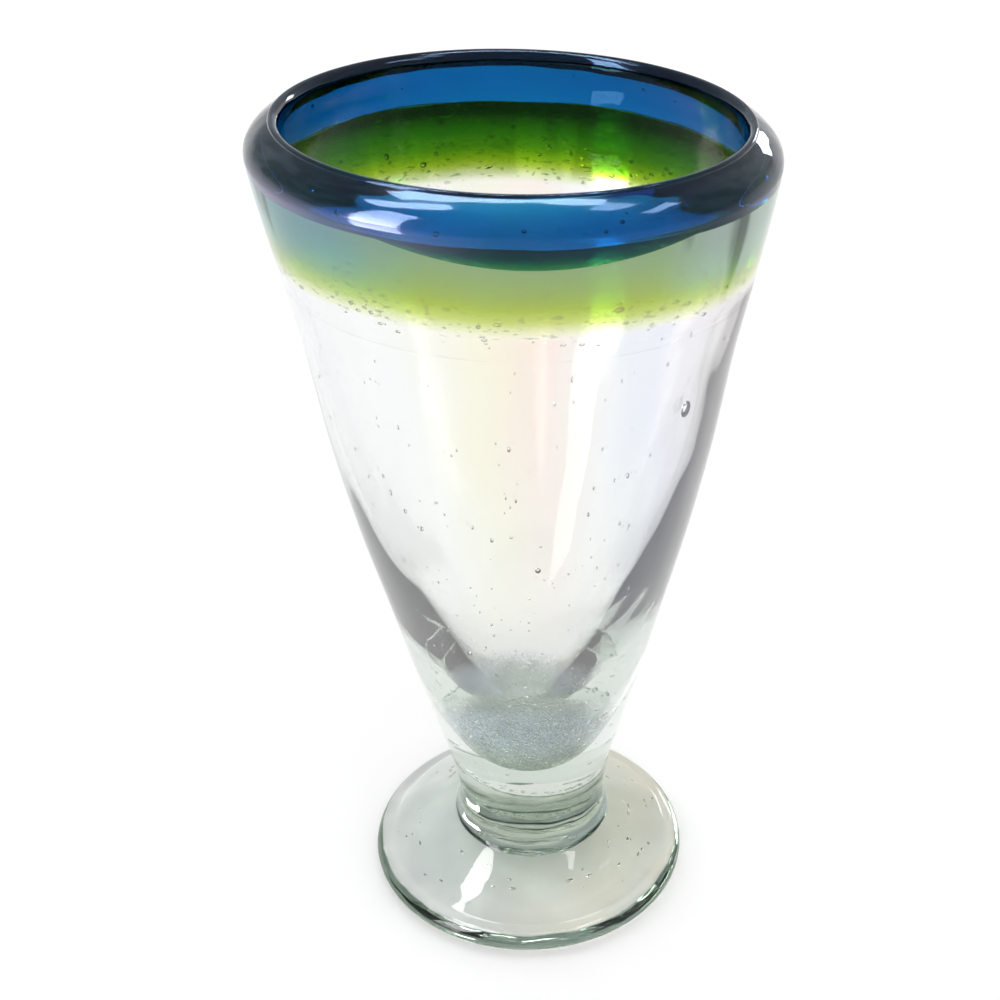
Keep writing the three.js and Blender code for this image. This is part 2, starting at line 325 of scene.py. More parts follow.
@named
class StageSettings(bpy.types.PropertyGroup):
    """Floor, room and camera."""

    floor_reach: length("Half the side of the floor", 3)
    floor_drop: length("Hair between the floor and the foot", 0.0002)
    floor_colour: tint("Colour of the floor", (0.9, 0.9, 0.9))
    floor_glow: number("Light of its own that brings the floor to white", 0.15)
    room_dim: number("How much dimmer glass shows the room above", 0.38)
    room_left: tint("Colour of the room at the left, as glass shows it", (0.84, 0.93, 1.0))
    room_right: tint("Colour of the room at the right, as glass shows it", (0.94, 0.98, 1.0))
    camera_place: partial(
        bpy.props.FloatVectorProperty, description="Where the camera stands", default=(0.0005, -0.28449, 0.27423),
        subtype="TRANSLATION", unit="LENGTH", precision=5)
    pitch: angle("How far the camera looks down", 32.094)
    yaw: angle("How far it looks to the right", -0.928)
    roll: angle("How far it leans", 1.455)
    sensor: number("Width of the camera's sensor", 36, unit="CAMERA")
    lens: number("Its focal length", 58.5, unit="CAMERA")


class Outline:
    """The two outlines of the blown glass, outside and cavity, as radii at a height."""

    def __init__(self, sizes):
        self.sizes = sizes
        self.bulge_height = sizes.glass_height - sizes.bulge_drop
        self.mouth_height = sizes.glass_height - sizes.lip_depth
        self.cavity_bottom = sizes.wafer_top + sizes.cavity_floor
        shares = np.array(WALL_OUTLINE_SHARES, float)
        start = np.array((sizes.waist_height, sizes.waist_radius))
        end = np.array((self.bulge_height, sizes.bulge_radius))
        self.wall_curve = catmull_rom(start + shares * (end - start), OUTLINE_SAMPLES)

    def outer(self, height):
        return np.interp(height, self.wall_curve[:, 0], self.wall_curve[:, 1])

    def cavity(self, height):
        sizes = self.sizes
        swell = smooth(height, self.mouth_height - sizes.lip_swell, self.mouth_height)
        wall = sizes.wall + (sizes.lip - sizes.wall) * swell
        rise = np.maximum(height - self.cavity_bottom, 0)
        tip = sizes.tip_fullness * np.tanh(np.sqrt(rise / sizes.tip_round))
        taper = (rise / sizes.cavity_taper) ** sizes.taper_bend
        return (self.outer(height) - wall) * np.tanh(tip + taper)

    def cavity_aside(self, height):
        """How far the cavity stands aside: most half way up, and nothing at its floor and the rim."""
        rim_bottom = self.sizes.glass_height - self.sizes.rim_depth
        across = np.clip((height - self.cavity_bottom) / (rim_bottom - self.cavity_bottom), 0, 1)
        return 4 * self.sizes.cavity_offset * across * (1 - across)


def smooth(value, start, end):
    """0 at start, 1 at end, with a level run at both."""
    across = np.clip((value - start) / (end - start), 0, 1)
    return across * across * (3 - 2 * across)


def catmull_rom(points, samples):
    """A smooth curve through the points, with its end points doubled."""
    padded = np.vstack((points[:1], points, points[-1:]))
    place = np.linspace(0, len(points) - 1, samples + 1)
    first = np.minimum(place.astype(int), len(points) - 2)
    t = (place - first)[:, None]
    before, low, high, after = (padded[first + i] for i in range(4))
    rise, fall = (high - before) / 2, (after - low) / 2
    return ((2 * low - 2 * high + rise + fall) * t ** 3
            + (3 * high - 3 * low - 2 * rise - fall) * t ** 2 + rise * t + low)


def bezier(steps, *corners):
    """Points on a Bezier curve, without its first one."""
    t = np.linspace(0, 1, steps + 1)[1:]
    points = [np.outer(np.ones(steps), corner) for corner in corners]
    while len(points) > 1:
        points = [a + (b - a) * t[:, None] for a, b in zip(points, points[1:])]
    return points[0]


def quarter_round(steps, start, corner, end):
    """A quarter of an ellipse between two points, leaving the first along the corner's side."""
    fullness = (4 / 3) * (math.sqrt(2) - 1)
    start, corner, end = (np.array(p, float) for p in (start, corner, end))
    return bezier(steps, start, start + (corner - start) * fullness, end + (corner - end) * fullness, end)


def hand_blown(sizes, points):
    """Moves points of the true solid to where the maker's hand left them."""
    x, y, z = points.T
    outline = Outline(sizes)
    inwards = (outline.outer(z) - np.hypot(x, y)) / (outline.outer(z) - outline.cavity(z))
    x = x - outline.cavity_aside(z) * np.clip(inwards, 0, 1)
    climbed = np.clip((z - sizes.waist_height) / (outline.bulge_height - sizes.waist_height), 0, 1)
    stem = sizes.foot_offset + sizes.stem_offset * smooth(z, 0, sizes.offset_rise)
    tilt = smooth(z, sizes.tilt_start, sizes.tilt_end)
    return np.column_stack((x + stem * (1 - climbed), y, z + tilt * (sizes.tilt_x * x + sizes.tilt_y * y)))


def wander(seed, waves):
    """A line of no one shape, up to 1 high, made of many waves round the glass."""
    random = np.random.default_rng(seed)
    counts = np.arange(2, waves)
    phases = random.uniform(0, 2 * math.pi, len(counts))
    heights = random.normal(0, 1, len(counts)) / np.sqrt(counts)
    line = (heights[:, None] * np.cos(counts[:, None] * ANGLES + phases[:, None])).sum(0)
    return line / np.abs(line).max()


class Joints:
    """The heights at which the gathers meet, all round, for the ragged lines that fusing leaves.

    back is 0 at the front of the glass and 1 at its back.
    """

    def __init__(self, sizes):
        self.sizes = sizes
        self.back = smooth(-np.cos(ANGLES), *BACK_RUN)

    def _wafer_joint(self, height, lean, waves):
        sizes = self.sizes
        return height + lean * sizes.waist_radius * np.sin(ANGLES) + sizes.joint_ragged * wander(*waves)

    def wafer_bottom(self):
        return self._wafer_joint(self.sizes.wafer_bottom, self.sizes.lower_lean, WAFER_BOTTOM_WAVES)

    def wafer_top(self):
        return self._wafer_joint(self.sizes.wafer_top, self.sizes.upper_lean, WAFER_TOP_WAVES)

    def rim_outer(self):
        sizes = self.sizes
        middle = math.radians(sizes.drip_middle)
        across = np.degrees(np.arctan2(np.sin(ANGLES - middle), np.cos(ANGLES - middle)))
        drip = np.clip(1 - (across / sizes.drip_half) ** 2, 0, 1)
        line = (sizes.glass_height - sizes.rim_depth + sizes.rim_outer_joint - sizes.rim_drip * drip
                - sizes.rim_back_drop * self.back)
        return line + sizes.rim_ragged * wander(*RIM_OUTER_WAVES)

    def rim_inner(self):
        sizes = self.sizes
        return (sizes.glass_height - sizes.rim_depth + sizes.rim_inner_rise - sizes.rim_inner_joint * self.back
                + sizes.rim_ragged * wander(*RIM_INNER_WAVES))

    def groove(self, heights, joint):
        """How deep the crease round a joint is at these heights."""
        return self.sizes.joint_groove * np.exp(-((heights - joint) / self.sizes.joint_groove_width) ** 2)


def unit_ball(detail):
    """Points and faces of a ball of radius 1 that is hollow: its faces look to its middle."""
    ball = bmesh.new()
    bmesh.ops.create_icosphere(ball, subdivisions=detail, radius=1)
    points = np.array([vertex.co[:] for vertex in ball.verts])
    faces = [[vertex.index for vertex in reversed(face.verts)] for face in ball.faces]
    ball.free()
    return points, faces


class Gather:
    """One gather of hot glass: rings of points along its section, which is drawn anticlockwise, and its bubbles."""

    def __init__(self, sizes, seed):
        self.sizes = sizes
        self.outline = Outline(sizes)
        self.rings, self.kinds, self.bubbles = [], [], []
        self.random = np.random.default_rng(seed)

    def add(self, radii, heights, kind):
        """Adds rings; the faces between each one and the ring before it are of that kind."""
        radii, heights = np.broadcast_arrays(
            np.atleast_1d(radii).astype(float), np.atleast_1d(heights).astype(float))
        if radii.ndim == 1:
            radii, heights = (np.outer(v, ALL_ROUND) for v in (radii, heights))
        self.rings.extend(zip(radii, heights))
        self.kinds.extend([kind] * len(radii))

    def add_curves(self, kind, *curves):
        """Adds the rings of curves given as radii and heights."""
        for curve in curves:
            self.add(*curve.T, kind)

    def add_from_joint(self, radii, heights, kind):
        """Adds rings of that kind, the first of which ends a fused face."""
        self.add(radii[:1], heights[:1], FUSED)
        self.add(radii[1:], heights[1:], kind)

    def bubble(self, radius_out, height, turn, size, stretch, detail=1):
        """Adds a bubble at a place round the axis, stretched round the glass, up it and through it."""
        self.bubbles.append((radius_out, height, turn, size, stretch, detail))

    def wall_bubble(self, height, turn, depth, size, stretch, detail=1):
        """Adds a bubble at a share of the wall's thickness from the outside."""
        outer = float(self.outline.outer(height))
        cavity = max(float(self.outline.cavity(height)), 0)
        self.bubble(outer - (outer - cavity) * depth, height, turn, size, stretch, detail)

    def large_bubbles(self, table, depth):
        """Adds the bubbles of a table."""
        for height, degrees, size, *stretch in table:
            self.wall_bubble(height, math.radians(degrees), depth, size, *(stretch or [(1, 1, 1)]), 2)

    def scatter(self, count, stretch, depths, low, high, smallest=1, largest=1):
        """Adds seeds all over a run of the wall."""
        draw = self.random.uniform
        size_low, size_high = smallest * self.sizes.seed_small, largest * self.sizes.seed_large
        for _ in range(count):
            size = size_low + (size_high - size_low) * draw() ** 2
            self.wall_bubble(draw(low, high), draw(0, 2 * math.pi), draw(*depths), size, stretch)

    def joint_bubbles(self, count, joint, side):
        """Adds the fine bubbles caught along a joint, on this gather's side of it."""
        sizes = self.sizes
        draw = self.random.uniform
        for _ in range(count):
            turn = draw(0, 2 * math.pi)
            size = draw(sizes.seed_small, sizes.seed_large)
            at = float(np.interp(turn, ANGLES, joint, period=2 * math.pi))
            height = at + side * (2 * size + draw(0, sizes.joint_ragged))
            inside = self.outline.outer(height) - draw(*JOINT_SEED_DEPTHS) * sizes.seed_large
            self.bubble(float(inside), height, turn, size, (draw(*JOINT_SEED_STRETCH), 1, 1))

    def _bubble_parts(self, first):
        """Points and faces of the bubbles, numbered from first."""
        points, faces = [], []
        for radius_out, height, turn, size, stretch, detail in self.bubbles:
            around = np.array((math.cos(turn), math.sin(turn), 0))
            out = np.array((math.sin(turn), -math.cos(turn), 0))
            middle = hand_blown(self.sizes, np.array([radius_out * out + (0, 0, height)]))[0]
            ball, ball_faces = unit_ball(detail)
            shape = np.array((around * stretch[0], (0, 0, stretch[1]), out * stretch[2]))
            start = first + len(points)
            points.extend(middle + size * ball @ shape)
            faces.extend([start + corner for corner in face] for face in ball_faces)
        return points, faces

    def mesh(self, name, closed_ring):
        """The closed mesh of the rings. A ring at the axis is one point."""
        points, rows = [], []
        for radius, height in self.rings:
            first = len(points)
            if radius.max() <= 0:
                points.append((0, 0, height.mean()))
                rows.append(np.full(FACETS_ROUND, first))
            else:
                points.extend(zip(radius * np.sin(ANGLES), -radius * np.cos(ANGLES), height))
                rows.append(first + np.arange(FACETS_ROUND))
        pairs = list(zip(rows, rows[1:], self.kinds[1:]))
        if closed_ring:
            pairs.append((rows[-1], rows[0], self.kinds[0]))
        faces, kinds = [], []
        for low, high, kind in pairs:
            for corners in zip(low, np.roll(low, -1), np.roll(high, -1), high):
                loop = list(dict.fromkeys(corners))
                if len(loop) > 2:
                    faces.append(loop)
                    kinds.append(kind)
        true_points = np.array(points)
        bubble_points, bubble_faces = self._bubble_parts(len(true_points))
        kinds += [OTHER] * len(bubble_faces)
        shaped = list(hand_blown(self.sizes, true_points)) + bubble_points
        data = bpy.data.meshes.new(name)
        data.from_pydata(shaped, [], faces + bubble_faces)
        levels = np.concatenate((true_points[:, 2], np.zeros(len(bubble_points))))
        data.attributes.new("level", "FLOAT", "POINT").data.foreach_set("value", levels)
        for kind in (INSIDE, OUTSIDE, FUSED):
            values = [float(each == kind) for each in kinds]
            data.attributes.new(kind, "FLOAT", "FACE").data.foreach_set("value", values)
        data.shade_smooth()
        data.set_sharp_from_angle(angle=math.radians(SHARP_DEGREES))
        return data


class Signal:
    """A number that changes over a surface. Sums on it become Math nodes."""

    def __init__(self, look, socket):
        self.look = look
        self.socket = socket

    def _math(self, operation, first, second):
        return self.look.node("ShaderNodeMath", {0: first, 1: second}, operation=operation)

    def __add__(self, other):
        return self._math("ADD", self, other)

    def __sub__(self, other):
        return self._math("SUBTRACT", self, other)

    def __rsub__(self, other):
        return self._math("SUBTRACT", other, self)

    def __mul__(self, other):
        return self._math("MULTIPLY", self, other)

    __radd__ = __add__
    __rmul__ = __mul__


class Look:
    """The nodes of a material or of the world."""

    def __init__(self, tree, coordinates=None):
        self.tree = tree
        tree.nodes.clear()
        if coordinates:
            self.place = self.node("ShaderNodeTexCoord", output=coordinates)

    def along(self, axis):
        return self.node("ShaderNodeSeparateXYZ", {0: self.place}, axis)

    def node(self, kind, inputs=None, output=0, **settings):
        """Adds a node: its settings first, then the values or links of its sockets."""
        made = self.tree.nodes.new(kind)
        for name, value in settings.items():
            if name == "stops":
                self._set_stops(made.color_ramp, value)
            else:
                setattr(made, name, value)
        for key, value in (inputs or {}).items():
            if isinstance(value, Signal):
                self.tree.links.new(value.socket, made.inputs[key])
            else:
                made.inputs[key].default_value = value
        return Signal(self, made.outputs[output]) if made.outputs else None

    @staticmethod
    def _set_stops(ramp, stops):
        while len(ramp.elements) < len(stops):
            ramp.elements.new(1)
        for element, (place, colour) in zip(ramp.elements, stops):
            element.position = place
            element.color = (*colour, 1)

    def attribute(self, name):
        return self.node("ShaderNodeAttribute", output="Fac", attribute_name=name)

    def rise(self, value, low, high):
        """0 where the value is low, 1 where it is high, with soft ends."""
        return self.node("ShaderNodeMapRange", {"Value": value, "From Min": low, "From Max": high}, "Result",
                         interpolation_type="SMOOTHSTEP")

    def blend(self, first, second, factor):
        """One colour over into another: the node's sockets 6 and 7 take colours."""
        first, second = (each if isinstance(each, Signal) else (*each, 1) for each in (first, second))
        return self.node("ShaderNodeMix", {0: factor, 6: first, 7: second}, 2, data_type="RGBA")

    def ramp(self, value, stops, colours):
        """Colours along a value. A word among them is the name of one of the user's colours."""
        stops = [(place, getattr(colours, each) if isinstance(each, str) else each) for place, each in stops]
        return self.node("ShaderNodeValToRGB", {"Fac": value}, "Color", stops=stops)


class GlassLook(Look):
    """The nodes of one glass: clear glass all through, with lustre and grain laid over some of its faces."""

    def __init__(self, name):
        self.material = bpy.data.materials.new(name)
        self.material.use_nodes = True
        super().__init__(self.material.node_tree, "Object")
        self.level = self.attribute("level")
        self.inside, self.outside, self.fused = (self.attribute(kind) for kind in (INSIDE, OUTSIDE, FUSED))

    def noise(self, name):
        features, closeness, detail = NOISES[name]
        scale = tuple(features * each for each in closeness)
        where = self.node("ShaderNodeMapping", {"Vector": self.place, "Scale": scale})
        return self.node("ShaderNodeTexNoise", {"Vector": where, "Scale": 1.0, "Detail": detail}, "Fac")

    def bump(self, height, depth):
        return self.node("ShaderNodeBump", {"Height": height, "Distance": depth, "Strength": 1.0})

    def glass(self, colour, roughness, normal, sheen):
        return self.node("ShaderNodeBsdfPrincipled", {
            "Base Color": colour, "Roughness": roughness, "IOR": GLASS_IOR, "Transmission Weight": 1.0,
            "Alpha": 1 - self.fused, "Normal": normal, "Specular Tint": (*sheen, 1)})

    def skin(self, colour, roughness, metallic, normal):
        return self.node("ShaderNodeBsdfPrincipled", {
            "Base Color": colour, "Roughness": roughness, "Metallic": metallic, "IOR": GLASS_IOR, "Normal": normal})

    def over(self, below, above, share_of_above):
        return self.node("ShaderNodeMixShader", {0: share_of_above, 1: below, 2: above})

    def finish(self, surface, deep, density):
        volume = self.node("ShaderNodeVolumeAbsorption", {"Color": (*deep, 1), "Density": density})
        self.node("ShaderNodeOutputMaterial", {"Surface": surface, "Volume": volume})
        return self.material


def clear_glass_material(name, left, right, pale, wave_depth, density):
    """Clear glass with pale cords in it, as the foot and the wafer have. Its colour runs from left to right, which on
    the foot is painted shade at the left and painted warm light at the right.
    """
    look = GlassLook(name)
    normal = look.bump(look.noise("foot waves"), wave_depth)
    # On the foot, this run from left to right is painted shade at the left and painted warm light at the right
    across = look.blend(left, right, look.rise(look.along("X"), *FOOT_SIDES))
    colour = look.blend(across, pale, look.rise(look.noise("cords"), *CORD_LEVELS))
    roughness = look.rise(look.noise("smears"), *SMEAR_LEVELS) * SMEAR_ROUGHNESS * look.outside
    return look.finish(look.glass(colour, roughness, normal, CLEAR_SHEEN), CLEAR_DEEP, density)


def pearl_across(look, drift, colours):
    """The lustre's colours from the left of the glass to its right."""
    across = look.along("X") * LUSTRE_PER_METRE + drift * LUSTRE_DRIFT + LUSTRE_MIDDLE
    sides = look.ramp(across, LUSTRE_STOPS, colours)
    return look.blend((1, 1, 1), sides, look.rise(look.level, *LUSTRE_TURNS))


def bowl_material(colours):
    """Clear glass with pearly lustre outside and a crackled skin low in the cavity. The lustre's hues are also laid
    into the glass's own colour as a painted reflection, and the skin carries white painted glints.
    """
    look = GlassLook("lustred clear glass")
    drift = look.noise("drift") - NOISE_MIDDLE
    streaks, grain, mottle = (look.noise(name) for name in ("streaks", "grain", "mottles"))
    pearl = pearl_across(look, drift, colours)

    edge = look.level + look.along("Y") * GRAIN_TILT + drift * GRAIN_DRIFT + (grain - NOISE_MIDDLE) * GRAIN_FRAY
    crackle = (1 - look.rise(edge, *GRAIN_LEVELS)) * look.inside
    normal = look.bump(look.noise("wall waves") * WAVE_DEPTH + grain * crackle * GRAIN_DEPTH, 1.0)
    # Painted reflection: the lustre's hues laid into the clear glass's own colour
    painted_reflection_tint = look.blend(colours.clear, pearl, LUSTRE_PAINTED_REFLECTION)
    glass = look.glass(painted_reflection_tint, crackle * GRAIN_ROUGHNESS, normal, CLEAR_SHEEN)

    silt = look.blend(colours.grain, colours.grain_green, look.rise(look.level, *GREENER_DOWNWARDS))
    silt = look.blend(silt, colours.grain_dark, look.rise(mottle, *DARK_MOTTLES) * MOTTLE_DARKNESS)
    # Painted glints: white specks laid into the skin's colour where the noise is high within some mottles
    painted_glints = look.rise(look.noise("painted_glints"), *PAINTED_GLINT_LEVELS) * look.rise(mottle, *GLINTED_MOTTLES)
    skin = look.skin(look.blend(silt, (1, 1, 1), painted_glints), SKIN_ROUGHNESS, 0.0, normal)
    skinned = look.over(glass, skin, crackle * look.rise(grain, *GRAIN_GAPS) * GRAIN_COVER)

    lustre = look.skin(pearl, LUSTRE_ROUGHNESS + streaks * STREAK_ROUGHNESS, 1.0, normal)
    cover = look.rise(look.level, *LUSTRE_LEVELS) * (LUSTRE_COVER + (streaks - NOISE_MIDDLE) * LUSTRE_UNEVEN)
    return look.finish(look.over(skinned, lustre, look.outside * cover), CLEAR_DEEP, CLEAR_DENSITY)


def green_material(colours):
    """Green glass that thins out downwards, under a gold and misty lustre."""
    look = GlassLook("green glass")
    drift = look.noise("band drift") - NOISE_MIDDLE
    sideways = look.along("X")
    level = look.level + sideways * BAND_TILTS[0] + look.along("Y") * BAND_TILTS[1] + drift * BAND_DRIFT
    across = (level - BAND_LEVELS[0]) * (1 / (BAND_LEVELS[1] - BAND_LEVELS[0]))
    bare = 1 - look.rise(across, *BARE_BELOW)
    sides = pearl_across(look, look.noise("drift") - NOISE_MIDDLE, colours)
    seeds = look.rise(look.noise("tiny seeds"), *TINY_SEED_LEVELS) * TINY_SEED_SHARE
    green = look.blend(look.ramp(across, BAND_STOPS, colours), colours.green_deep, seeds)
    # Painted reflection: where the green thins out, the lustre's hues are laid into the clear glass's own colour
    green = look.blend(green, look.blend(colours.clear, sides, LUSTRE_PAINTED_REFLECTION), bare)
    normal = look.bump(look.noise("wall waves") * WAVE_DEPTH, 1.0)
    glass = look.glass(green, 0.0, normal, GREEN_SHEEN)

    aside = sideways + drift * SIDE_DRIFT
    pearl = look.ramp(across, BAND_LUSTRE_STOPS, colours)
    for name, side, upwards in BAND_SIDES:
        pearl = look.blend(pearl, getattr(colours, name), look.rise(aside, *side) * look.rise(across, *upwards))
    pearl = look.blend(pearl, sides, bare)
    specks = look.rise(look.noise("specks"), *SPECK_LEVELS)
    lustre = look.skin(pearl, BAND_ROUGHNESS + specks * SPECK_ROUGHNESS, 1.0, normal)
    gaps = look.rise(look.noise("gaps"), *GAP_LEVELS) * GAP_DEPTH * (1 - bare)
    full = BAND_LUSTRE_COVER + drift * BAND_UNEVEN - bare * (BAND_LUSTRE_COVER - LUSTRE_COVER)
    return look.finish(look.over(glass, lustre, look.outside * full * (1 - gaps)), CLEAR_DEEP, CLEAR_DENSITY)


def blue_material(colours):
    """Deep blue glass, smooth and glossy, with the last of the lustre on its underside."""
    look = GlassLook("blue glass")
    streaks = look.noise("rim streaks")
    normal = look.bump(look.noise("rim waves"), RIM_WAVE_DEPTH)
    blue = look.blend(colours.blue, colours.blue_streak, look.rise(streaks, *RIM_STREAK_LEVELS))
    glass = look.glass(blue, 0.0, normal, BLUE_SHEEN)
    lustre = look.skin(look.ramp(streaks, RIM_LUSTRE_STOPS, colours), RIM_LUSTRE_ROUGHNESS, 1.0, normal)
    low = 1 - look.rise(look.level, *RIM_LUSTRE_BELOW)
    cover = RIM_LUSTRE_LEAST + low * look.rise(look.along("X"), *RIM_LUSTRE_SIDE) * RIM_LUSTRE_COVER
    return look.finish(look.over(glass, lustre, look.outside * cover), BLUE_DEEP, BLUE_DENSITY)


def add_object(name, data):
    """An object of that data in the scene."""
    made = bpy.data.objects.new(name, data)
    bpy.context.scene.collection.objects.link(made)
    return made


def place(name, gather, material, node, slot, closed_ring=False):
    """Puts a finished gather in the scene in the place of its solid."""
    piece = add_object(name, gather.mesh(name, closed_ring))
    piece.data.materials.append(material)
    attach(piece, "root")
    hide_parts(node)


def steps(low, high, count, power=1):
    """Heights from low to high, whose crowding towards low grows with the power, one row for each."""
    shares = np.linspace(0, 1, count + 1)[:, None] ** power
    return low + (high - low) * shares * ALL_ROUND


def creased(low, high, count, low_crease, high_crease, width):
    """Heights from low to high, with more of them near the joints that have a crease."""
    near = np.array(CREASE_RINGS)[:, None] * width * ALL_ROUND
    start = low + (near if low_crease else near[:1])
    end = (high - (near if high_crease else near[:1]))[::-1]
    return np.vstack((start, steps(start[-1], end[0], count)[1:-1], end))


class GlassOperator:
    """What the operators of the glass share."""

    bl_options = {"REGISTER", "UNDO"}

    @staticmethod
    def start(context):
        """The sizes, the colours, the wall's outlines and the joints."""
        sizes = context.scene.glass_sizes
        return sizes, context.scene.glass_colours, Outline(sizes), Joints(sizes)


class GLASS_OT_foot(GlassOperator, bpy.types.Operator):
    """Makes the foot with its short stem"""

    bl_idname = "glass.foot"
    bl_label = "Foot and stem"

    def execute(self, context):
        sizes, colours, _, joints = self.start(context)
        edge, waist, scar = sizes.foot_radius, sizes.waist_radius, sizes.scar_radius
        ring_outer = edge - sizes.edge_under_reach
        ring_inner = ring_outer - sizes.rest_ring
        edge_top = edge - sizes.edge_upper_reach
        slope = (sizes.shoulder_height - sizes.edge_height) / (edge_top - sizes.shoulder_radius)
        cove_corner = sizes.edge_height + slope * (edge_top - waist)
        scar_floor = sizes.kick_up - sizes.scar_height

        scar_end, widest = (scar + sizes.scar_height, sizes.kick_up), (edge, sizes.edge_widest)
        slope_start, shoulder = (edge_top, sizes.edge_height), (sizes.shoulder_radius, sizes.shoulder_height)
        mark = np.array((
            (0, sizes.kick_up), (scar / 2, sizes.kick_up), (scar - sizes.scar_height, scar_floor), (scar, scar_floor),
            scar_end))
        hollow = bezier(HOLLOW_RINGS, scar_end, ((scar + ring_inner) / 2, sizes.kick_up), (ring_inner, 0))
        under = quarter_round(EDGE_UNDER_RINGS, (ring_outer, 0), (edge, 0), widest)
        upper = quarter_round(EDGE_UPPER_RINGS, widest, (edge, sizes.edge_height), slope_start)
        run = bezier(FOOT_RUN_RINGS, slope_start, shoulder)
        cove = bezier(COVE_RINGS, shoulder, (waist, cove_corner), (waist, sizes.waist_height))
        foot = Gather(sizes, 1)
        foot.add_curves(OTHER, mark, hollow)
        foot.add_curves(OUTSIDE, np.array([(ring_outer, 0)]), under, upper, run, cove)
        joint = joints.wafer_bottom()
        top = joint - sizes.joint_gap / 2
        stem = creased(sizes.waist_height, top, STEM_RINGS, False, True, sizes.joint_groove_width)[1:]
        foot.add(waist - joints.groove(stem, joint), stem, OUTSIDE)
        foot.add(0, top.mean(), FUSED)

        draw = foot.random.uniform
        for _ in range(FOOT_SEEDS):
            out = draw(sizes.shoulder_radius + SEED_MARGIN, edge_top - SEED_MARGIN)
            height = draw(*FOOT_SEED_DEPTHS) * (sizes.edge_height + slope * (edge_top - out))
            turn, size = draw(0, 2 * math.pi), draw(sizes.seed_small, sizes.seed_large)
            foot.bubble(out, height, turn, size, (draw(*FOOT_SEED_STRETCH), 1, 1))
        foot.joint_bubbles(JOINT_SEEDS, joint, -1)
        material = clear_glass_material(
            "foot glass", colours.foot_left_painted_shade, colours.foot_right_painted_light, colours.foot_pale, FOOT_WAVE_DEPTH, FOOT_DENSITY)
        place("foot_glass", foot, material, "foot", "foot_glass")
        return {"FINISHED"}


class GLASS_OT_wafer(GlassOperator, bpy.types.Operator):
    """Makes the wafer between the bowl and the stem"""

    bl_idname = "glass.wafer"
    bl_label = "Wafer"

    def execute(self, context):
        sizes, colours, outline, joints = self.start(context)
        bottom, top = joints.wafer_bottom(), joints.wafer_top()
        low, high = bottom + sizes.joint_gap / 2, top - sizes.joint_gap / 2
        wafer = Gather(sizes, 2)
        wafer.add(0, low.mean(), FUSED)
        side = creased(low, high, WAFER_RINGS, True, True, sizes.joint_groove_width)
        radii = outline.outer(side) - joints.groove(side, bottom) - joints.groove(side, top)
        wafer.add_from_joint(radii, side, OUTSIDE)
        wafer.add(0, high.mean(), FUSED)
        wafer.joint_bubbles(JOINT_SEEDS, bottom, 1)
        wafer.joint_bubbles(JOINT_SEEDS, top, -1)
        material = clear_glass_material(
            "wafer glass", colours.wafer, colours.wafer, colours.wafer_pale, WAFER_WAVE_DEPTH, CLEAR_DENSITY)
        place("wafer_glass", wafer, material, "wafer", "wafer_glass")
        return {"FINISHED"}


class GLASS_OT_bowl(GlassOperator, bpy.types.Operator):
    """Makes the clear bowl with its thick base and cavity"""

    bl_idname = "glass.bowl"
    bl_label = "Bowl"

    def execute(self, context):
        sizes, colours, outline, joints = self.start(context)
        joint = joints.wafer_top()
        low = joint + sizes.joint_gap / 2
        high = sizes.glass_height - sizes.rim_depth - sizes.band_depth - sizes.joint_gap / 2
        bowl = Gather(sizes, 4)
        bowl.add(0, low.mean(), FUSED)
        side = creased(low, high, BOWL_RINGS, True, False, sizes.joint_groove_width)
        bowl.add_from_joint(outline.outer(side) - joints.groove(side, joint), side, OUTSIDE)
        cavity = steps(outline.cavity_bottom, high, CAVITY_RINGS, 2)[::-1]
        bowl.add_from_joint(outline.cavity(cavity), cavity, INSIDE)
        bowl.large_bubbles(LARGE_BUBBLES, BOWL_BUBBLE_DEPTH)
        bowl.scatter(*WALL_SEEDS, BASE_SEED_HEIGHTS[1], high - SEED_MARGIN)
        bowl.scatter(*BASE_SEEDS, *BASE_SEED_HEIGHTS)
        bowl.joint_bubbles(2 * JOINT_SEEDS, joint, 1)
        place("bowl_glass", bowl, bowl_material(colours), "bowl", "clear_lustre_glass")
        return {"FINISHED"}


class GLASS_OT_green_band(GlassOperator, bpy.types.Operator):
    """Makes the green band between the bowl and the rim"""

    bl_idname = "glass.green_band"
    bl_label = "Green band"

    def execute(self, context):
        sizes, colours, outline, joints = self.start(context)
        low = sizes.glass_height - sizes.rim_depth - sizes.band_depth + sizes.joint_gap / 2
        band = Gather(sizes, 5)
        side = steps(low, joints.rim_outer() - sizes.joint_gap / 2, BAND_RINGS)
        band.add_from_joint(outline.outer(side), side, OUTSIDE)
        inner = steps(low, joints.rim_inner() - sizes.joint_gap / 2, BAND_RINGS)[::-1]
        band.add_from_joint(outline.cavity(inner), inner, INSIDE)
        band.large_bubbles(BAND_BUBBLES, BAND_BUBBLE_DEPTH)
        band.scatter(*BAND_SEEDS, *(low + rise for rise in BAND_SEED_RISES), *BAND_SEED_SCALES)
        place("green_band_glass", band, green_material(colours), "green_band", "green_glass", True)
        return {"FINISHED"}


